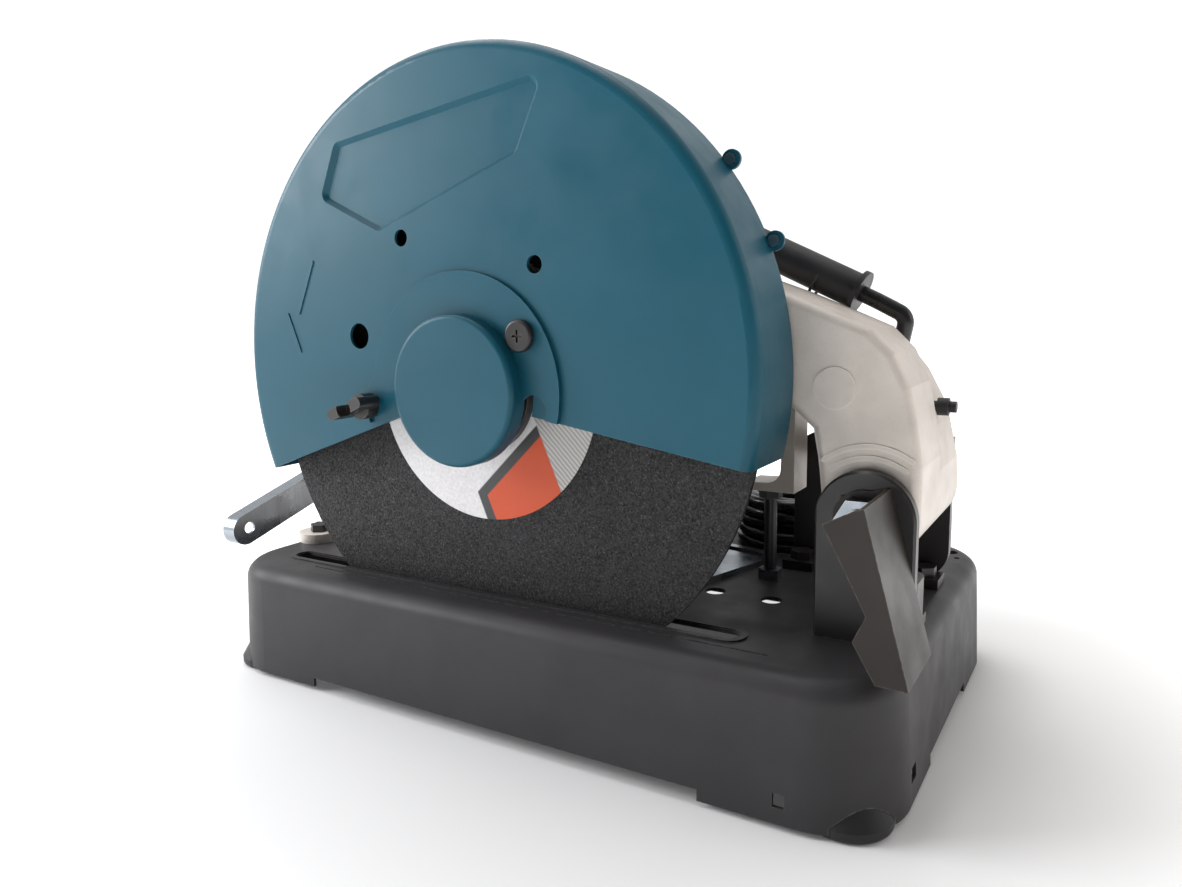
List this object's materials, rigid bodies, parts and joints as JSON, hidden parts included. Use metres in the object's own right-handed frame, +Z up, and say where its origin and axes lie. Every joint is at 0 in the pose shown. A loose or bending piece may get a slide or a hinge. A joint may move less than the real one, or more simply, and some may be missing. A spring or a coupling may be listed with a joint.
{
  "type": "abrasive chop saw",
  "caption": "Bench cut-off saw: pressed steel base with quick vise and guide plate, hinged motor head, half guard and large abrasive wheel.",
  "frame": {"origin": "on the floor under the middle of the base, at the centre of the four bench bolt holes", "axes": "+X towards the wheel side, the operator's right; +Y towards the rear pivot; +Z up"},
  "size_m": [0.2983, 0.527, 0.4057],
  "materials": {
    "base_paint": "satin",
    "black_paint": "satin",
    "spark_paint": "satin",
    "guard_paint": "satin",
    "cast_alloy": "satin",
    "zinc": "satin",
    "steel": "satin",
    "copper": "polished",
    "carbon": "matte",
    "teal_plastic": "satin",
    "black_plastic": "satin",
    "rod_paint": "satin",
    "abrasive": "matte",
    "label_paper": "matte",
    "rubber": "matte",
    "pin_metal": "polished"
  },
  "bodies": {
    "base": {"base_shell": "base_paint", "rubber_feet": "rubber", "near_ear": "black_paint", "far_ear": "black_paint", "base_bolts": "black_paint", "pivot_shaft": "steel", "pivot_nuts": "zinc", "depth_stop_bolt": "black_paint", "depth_stop_nut": "zinc", "guide_plate_bolts": "black_paint", "vise_holder": "cast_alloy", "cord_free": "rubber", "cord_coil": "rubber", "cord_tail": "rubber", "plug_body": "rubber", "plug_pins": "pin_metal"},
    "fence": {"guide_plate": "zinc"},
    "jaw": {"vise_jaw": "zinc"},
    "screw": {"vise_screw": "zinc", "crank": "zinc"},
    "half_nut": {"vise_nut": "zinc"},
    "head": {"arm_casting": "cast_alloy", "arm_cover": "cast_alloy", "gear_cover": "cast_alloy", "ball_bearings": "steel", "return_spring": "steel", "rear_bumper": "rubber", "motor_housing": "teal_plastic", "motor_end_cap": "black_plastic", "stator": "steel", "brush_caps": "black_plastic", "carbon_brushes": "carbon", "handle_left": "black_plastic", "handle_right": "black_plastic", "handle_screws": "zinc", "switch": "black_plastic", "carry_rod": "rod_paint", "carry_grip": "black_plastic", "guard_shell": "guard_paint", "guard_back": "guard_paint", "guard_screws": "zinc", "cover_screw": "black_paint", "cord_gland": "rubber"},
    "wheel_spindle": {"spindle": "steel", "drive_gear": "steel", "inner_flange": "black_paint", "outer_flange": "black_paint", "wheel_bolt": "zinc", "abrasive_wheel": "abrasive", "wheel_label": "label_paper"},
    "armature": {"armature_shaft": "steel", "armature_core": "steel", "commutator": "copper", "cooling_fan": "black_plastic"},
    "trigger": {"trigger": "black_plastic"},
    "lock_off": {"lock_off_button": "black_plastic"},
    "shaft_lock": {"shaft_lock_pin": "steel"},
    "cover": {"centre_cover": "guard_paint"},
    "wing": {"wing_bolt": "black_paint"},
    "spark": {"spark_guard": "spark_paint"}
  },
  "joints": [
    {"name": "head_lift", "type": "hinge", "parent": "base", "child": "head", "pos_m": [0, 0.204, 0.142], "axis": [-1, 0, 0], "range_deg": [0, 45]},
    {"name": "wheel_spin", "type": "hinge", "parent": "head", "child": "wheel_spindle", "pos_m": [0, -0.018, 0.205], "axis": [1, 0, 0], "continuous": true},
    {"name": "motor_spin", "type": "hinge", "parent": "head", "child": "armature", "pos_m": [0, 0.01575, 0.24522], "axis": [1, 0, 0], "continuous": true},
    {"name": "fence_swing", "type": "hinge", "parent": "base", "child": "fence", "pos_m": [0.041, 0.068, 0.077], "axis": [0, 0, 1], "range_deg": [0, 24]},
    {"name": "vise_slide", "type": "slide", "parent": "base", "child": "jaw", "axis": [0, -1, 0], "range_m": [-0.035, 0.165]},
    {"name": "screw_turn", "type": "hinge", "parent": "jaw", "child": "screw", "pos_m": [0, 0, 0.11], "axis": [0, 1, 0], "continuous": true},
    {"name": "nut_release", "type": "hinge", "parent": "base", "child": "half_nut", "pos_m": [0, -0.212, 0.128], "axis": [-1, 0, 0], "range_deg": [0, 35]},
    {"name": "trigger_pull", "type": "slide", "parent": "head", "child": "trigger", "axis": [0, -1, 0], "range_m": [0, 0.005], "stiffness_N_per_m": 500, "springref_m": -0.002},
    {"name": "lock_off_press", "type": "slide", "parent": "head", "child": "lock_off", "axis": [1, 0, 0], "range_m": [0, 0.0035], "stiffness_N_per_m": 400, "springref_m": -0.001},
    {"name": "shaft_lock_press", "type": "slide", "parent": "head", "child": "shaft_lock", "axis": [1, 0, 0], "range_m": [0, 0.005], "stiffness_N_per_m": 500, "springref_m": -0.001},
    {"name": "cover_swing", "type": "hinge", "parent": "head", "child": "cover", "pos_m": [0.1278, 0.0265, 0.2365], "axis": [-1, 0, 0], "range_deg": [0, 60]},
    {"name": "wing_turn", "type": "hinge", "parent": "head", "child": "wing", "pos_m": [0.14, -0.092, 0.193], "axis": [1, 0, 0], "range_deg": [0, 360]},
    {"name": "spark_swing", "type": "hinge", "parent": "base", "child": "spark", "pos_m": [0.1, 0.204, 0.142], "axis": [1, 0, 0], "range_deg": [0, 25]}
  ],
  "couplings": [
    {"joint": "motor_spin", "follows": "wheel_spin", "ratio": -4}
  ]
}
